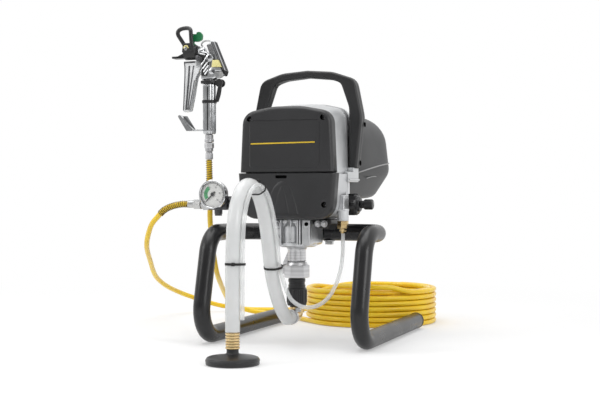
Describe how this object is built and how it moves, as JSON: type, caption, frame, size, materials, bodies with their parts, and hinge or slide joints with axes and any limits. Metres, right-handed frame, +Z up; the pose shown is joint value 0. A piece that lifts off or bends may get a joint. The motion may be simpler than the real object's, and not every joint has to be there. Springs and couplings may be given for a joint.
{
  "type": "airless paint sprayer",
  "caption": "Electric airless paint sprayer on a bent tube frame, with piston pump, suction line, gauge, coiled high-pressure hose and spray gun.",
  "frame": {"origin": "on the floor, on the machine's mid-plane, 5 mm in front of where the frame's front bends touch the floor", "axes": "+Z up, +X to the machine's right as its user stands behind it, -Y to its front where the suction foot stands"},
  "size_m": [0.5521, 0.8175, 0.5414],
  "materials": {
    "frame_paint": "satin black powder coat",
    "black_rubber": "matt",
    "black_plastic": "fine grain",
    "cover_plastic": "fine grain, dark grey",
    "zinc_steel": "zinc plated",
    "cast_aluminium": "bead blasted casting",
    "motor_steel": "grey paint",
    "gear_steel": "oiled ground steel",
    "bright_steel": "bright plated",
    "brass": "turned",
    "board": "lacquered board",
    "red_plastic": "gloss",
    "dial_white": "printed dial",
    "lens": "clear",
    "milky_hose": "translucent clear tube",
    "yellow_hose": "smooth sheath",
    "gun_metal": "polished casting",
    "green_plastic": "gloss"
  },
  "bodies": {
    "root": {"frame_tube": "frame_paint", "runner_end_caps": "black_rubber", "frame_saddles": "black_plastic", "frame_bolts": "zinc_steel", "gear_housing": "cast_aluminium", "motor_flange": "cast_aluminium", "upper_front_cover": "cover_plastic", "lower_front_cover": "cover_plastic", "body_screws": "zinc_steel", "handle_front_half": "black_plastic", "handle_rear_half": "black_plastic", "motor_cover": "cover_plastic", "motor_can": "motor_steel", "shaft_bearings": "gear_steel", "rod_packings": "brass", "control_board": "board", "cable_gland": "black_rubber", "switch_box": "black_plastic", "prime_valve": "bright_steel", "pump_manifold": "cast_aluminium", "pump_cylinder": "bright_steel", "cylinder_nut": "bright_steel", "inlet_housing": "black_plastic", "suction_elbow": "brass", "return_fitting": "brass", "gauge_block": "bright_steel", "gauge_case": "bright_steel", "gauge_dial": "dial_white", "gauge_lens": "lens", "outlet_fitting": "bright_steel", "foot_coupling": "brass", "strainer_foot": "black_plastic", "suction_hose": "milky_hose", "return_hose": "milky_hose", "hose_bands": "black_plastic", "hose_run_pump": "yellow_hose", "hose_run_gun": "yellow_hose", "hose_coil": "yellow_hose", "hose_guards": "zinc_steel", "gun_body": "gun_metal", "gun_handle": "gun_metal", "trigger_guard": "zinc_steel"},
    "crank": {"crankshaft": "gear_steel", "crank_gear": "gear_steel"},
    "layshaft": {"intermediate_gear": "gear_steel"},
    "rotor": {"motor_armature": "motor_steel", "motor_pinion": "gear_steel", "cooling_fan": "black_plastic"},
    "piston": {"piston_rod": "bright_steel"},
    "ball": {"inlet_ball": "bright_steel"},
    "pusher": {"inlet_pusher": "red_plastic"},
    "needle": {"gauge_needle": "black_plastic"},
    "prime": {"prime_knob": "black_plastic"},
    "pressure": {"pressure_knob": "black_plastic"},
    "rocker": {"switch_rocker": "red_plastic"},
    "trigger_body": {"trigger": "gun_metal"},
    "lock": {"trigger_lock": "black_plastic"},
    "guard": {"tip_guard": "black_plastic"},
    "tip": {"spray_tip": "green_plastic"},
    "swivel": {"gun_swivel": "bright_steel"}
  },
  "joints": [
    {"name": "crank_spin", "type": "hinge", "parent": "root", "child": "crank", "pos_m": [0, 0.07, 0.279], "axis": [0, 1, 0], "continuous": true},
    {"name": "layshaft_spin", "type": "hinge", "parent": "root", "child": "layshaft", "pos_m": [0.03471, 0.09, 0.303], "axis": [0, 1, 0], "continuous": true},
    {"name": "motor_spin", "type": "hinge", "parent": "root", "child": "rotor", "pos_m": [0, 0.15, 0.327], "axis": [0, 1, 0], "continuous": true},
    {"name": "piston_slide", "type": "slide", "parent": "root", "child": "piston", "axis": [0, 0, 1], "range_m": [-0.006, 0.006]},
    {"name": "inlet_ball_lift", "type": "slide", "parent": "root", "child": "ball", "axis": [0, 0, 1], "range_m": [0, 0.0025]},
    {"name": "inlet_push", "type": "slide", "parent": "root", "child": "pusher", "axis": [1, 0, 0], "range_m": [0, 0.003], "stiffness_N_per_m": 500, "springref_m": -0.002},
    {"name": "gauge_turn", "type": "hinge", "parent": "root", "child": "needle", "pos_m": [-0.142, 0.015, 0.251], "axis": [0, 1, 0], "range_deg": [0, 270]},
    {"name": "prime_turn", "type": "hinge", "parent": "root", "child": "prime", "pos_m": [0.088, 0.085, 0.234], "axis": [1, 0, 0], "range_deg": [0, 90]},
    {"name": "pressure_turn", "type": "hinge", "parent": "root", "child": "pressure", "pos_m": [0.11, 0.085, 0.234], "axis": [1, 0, 0], "range_deg": [0, 270]},
    {"name": "switch_rock", "type": "hinge", "parent": "root", "child": "rocker", "pos_m": [-0.09, 0.084, 0.2635], "axis": [0, 1, 0], "range_deg": [0, 16]},
    {"name": "trigger_pull", "type": "hinge", "parent": "root", "child": "trigger_body", "pos_m": [-0.175, 0.036, 0.477], "axis": [0, -1, 0], "range_deg": [0, 13], "stiffness_Nm_per_rad": 3, "springref_deg": -4.58},
    {"name": "lock_turn", "type": "hinge", "parent": "root", "child": "lock", "pos_m": [-0.137, 0.036, 0.443], "axis": [0, -1, 0], "range_deg": [0, 60]},
    {"name": "guard_turn", "type": "hinge", "parent": "root", "child": "guard", "pos_m": [-0.19, 0.036, 0.498], "axis": [1, 0, 0], "range_deg": [-90, 90]},
    {"name": "tip_turn", "type": "hinge", "parent": "guard", "child": "tip", "pos_m": [-0.19, 0.036, 0.5], "axis": [0, 0, 1], "range_deg": [0, 130]},
    {"name": "swivel_spin", "type": "hinge", "parent": "root", "child": "swivel", "pos_m": [-0.158, 0.036, 0.34], "axis": [0, 0, 1], "continuous": true}
  ],
  "couplings": [
    {"joint": "layshaft_spin", "follows": "crank_spin", "ratio": -3},
    {"joint": "motor_spin", "follows": "crank_spin", "ratio": 9}
  ]
}
